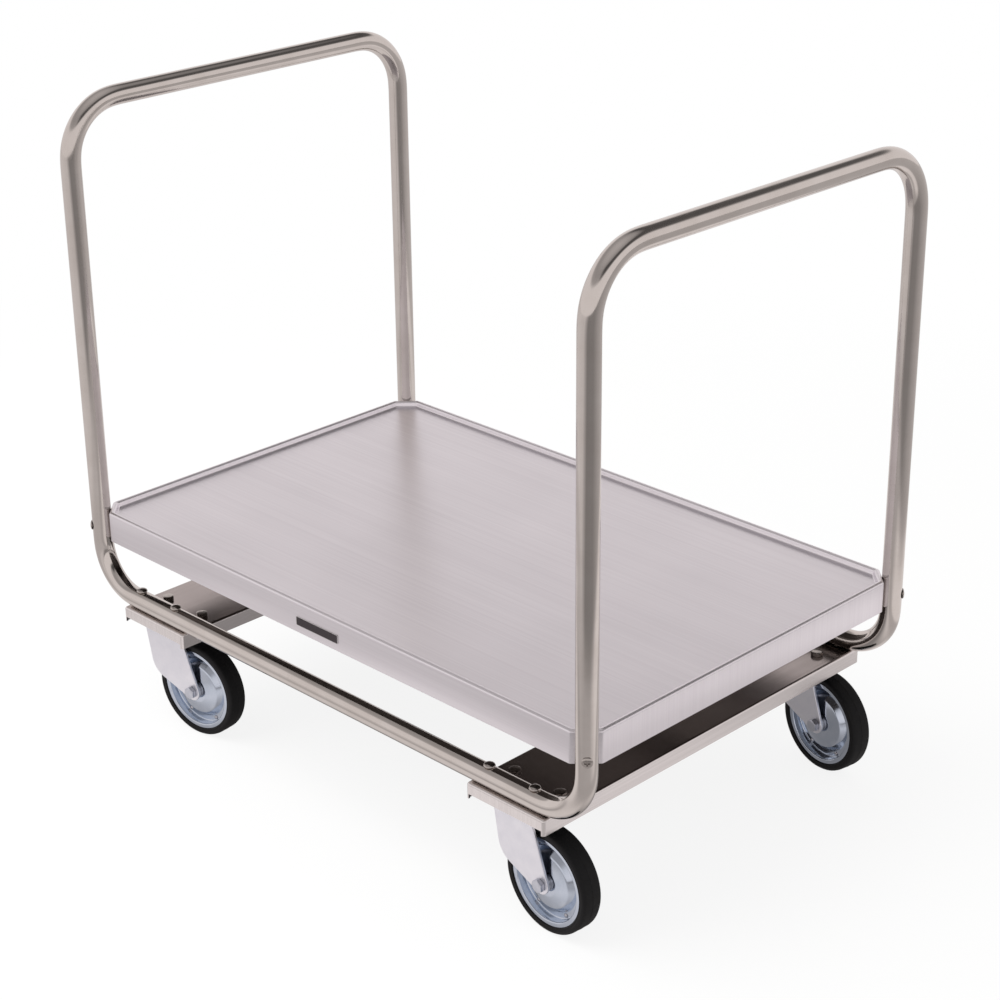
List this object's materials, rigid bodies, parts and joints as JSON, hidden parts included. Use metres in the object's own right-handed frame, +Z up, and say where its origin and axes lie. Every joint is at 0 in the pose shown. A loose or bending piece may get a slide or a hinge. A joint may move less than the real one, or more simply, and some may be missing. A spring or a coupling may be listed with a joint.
{
  "type": "platform truck",
  "caption": "Platform truck with a lipped sheet deck between the posts of a bent tube frame that forms a high push handle at each end, on swivel casters.",
  "frame": {"origin": "on the floor, under the middle of the deck", "axes": "+X along the deck towards the end that the casters trail to, +Y across the deck to the back side, +Z up"},
  "size_m": [0.8836, 0.5676, 0.8147],
  "materials": {
    "polished_tube": "polished",
    "plain_tube": "mill",
    "deck_sheet": "satin",
    "bolster_sheet": "satin",
    "fasteners": "bright",
    "caster_pressings": "zinc plated",
    "caster_pins": "zinc plated",
    "bearing_balls": "polished",
    "wheel_discs": "zinc plated",
    "tyre_rubber": "satin"
  },
  "bodies": {
    "chassis": {"left_frame_hoop": "polished_tube", "right_frame_hoop": "polished_tube", "rail_splice_sleeves": "plain_tube", "deck": "deck_sheet", "deck_stiffeners": "deck_sheet", "left_bolster": "bolster_sheet", "right_bolster": "bolster_sheet", "deck_screws": "fasteners", "deck_screw_nuts": "fasteners", "rail_bolts": "fasteners", "bolster_bolts": "fasteners", "caster_bolt_nuts": "fasteners", "kingpins": "caster_pins", "kingpin_nuts": "caster_pins", "front_left_caster_plate": "caster_pressings", "front_right_caster_plate": "caster_pressings", "back_left_caster_plate": "caster_pressings", "back_right_caster_plate": "caster_pressings"},
    "front_left_caster": {"front_left_fork": "caster_pressings", "front_left_swivel_balls": "bearing_balls", "front_left_axle_sleeve": "caster_pins", "front_left_axle_bolt": "caster_pins", "front_left_axle_nut": "caster_pins"},
    "front_left_wheel": {"front_left_tyre": "tyre_rubber", "front_left_front_disc": "wheel_discs", "front_left_back_disc": "wheel_discs", "front_left_hub": "caster_pins", "front_left_wheel_rivets": "wheel_discs"},
    "front_right_caster": {"front_right_fork": "caster_pressings", "front_right_swivel_balls": "bearing_balls", "front_right_axle_sleeve": "caster_pins", "front_right_axle_bolt": "caster_pins", "front_right_axle_nut": "caster_pins"},
    "front_right_wheel": {"front_right_tyre": "tyre_rubber", "front_right_front_disc": "wheel_discs", "front_right_back_disc": "wheel_discs", "front_right_hub": "caster_pins", "front_right_wheel_rivets": "wheel_discs"},
    "back_left_caster": {"back_left_fork": "caster_pressings", "back_left_swivel_balls": "bearing_balls", "back_left_axle_sleeve": "caster_pins", "back_left_axle_bolt": "caster_pins", "back_left_axle_nut": "caster_pins"},
    "back_left_wheel": {"back_left_tyre": "tyre_rubber", "back_left_front_disc": "wheel_discs", "back_left_back_disc": "wheel_discs", "back_left_hub": "caster_pins", "back_left_wheel_rivets": "wheel_discs"},
    "back_right_caster": {"back_right_fork": "caster_pressings", "back_right_swivel_balls": "bearing_balls", "back_right_axle_sleeve": "caster_pins", "back_right_axle_bolt": "caster_pins", "back_right_axle_nut": "caster_pins"},
    "back_right_wheel": {"back_right_tyre": "tyre_rubber", "back_right_front_disc": "wheel_discs", "back_right_back_disc": "wheel_discs", "back_right_hub": "caster_pins", "back_right_wheel_rivets": "wheel_discs"}
  },
  "joints": [
    {"name": "front_left_swivel", "type": "hinge", "parent": "chassis", "child": "front_left_caster", "pos_m": [-0.316, -0.249, 0.1486], "axis": [0, 0, 1], "continuous": true},
    {"name": "front_left_roll", "type": "hinge", "parent": "front_left_caster", "child": "front_left_wheel", "pos_m": [-0.27039, -0.243, 0.0635], "axis": [-0.1305, 0.9914, 0], "continuous": true},
    {"name": "front_right_swivel", "type": "hinge", "parent": "chassis", "child": "front_right_caster", "pos_m": [0.316, -0.249, 0.1486], "axis": [0, 0, 1], "continuous": true},
    {"name": "front_right_roll", "type": "hinge", "parent": "front_right_caster", "child": "front_right_wheel", "pos_m": [0.36194, -0.25141, 0.0635], "axis": [0.0523, 0.9986, 0], "continuous": true},
    {"name": "back_left_swivel", "type": "hinge", "parent": "chassis", "child": "back_left_caster", "pos_m": [-0.316, 0.249, 0.1486], "axis": [0, 0, 1], "continuous": true},
    {"name": "back_left_roll", "type": "hinge", "parent": "back_left_caster", "child": "back_left_wheel", "pos_m": [-0.27006, 0.25141, 0.0635], "axis": [-0.0523, 0.9986, 0], "continuous": true},
    {"name": "back_right_swivel", "type": "hinge", "parent": "chassis", "child": "back_right_caster", "pos_m": [0.316, 0.249, 0.1486], "axis": [0, 0, 1], "continuous": true},
    {"name": "back_right_roll", "type": "hinge", "parent": "back_right_caster", "child": "back_right_wheel", "pos_m": [0.36143, 0.2418, 0.0635], "axis": [0.1564, 0.9877, 0], "continuous": true}
  ]
}
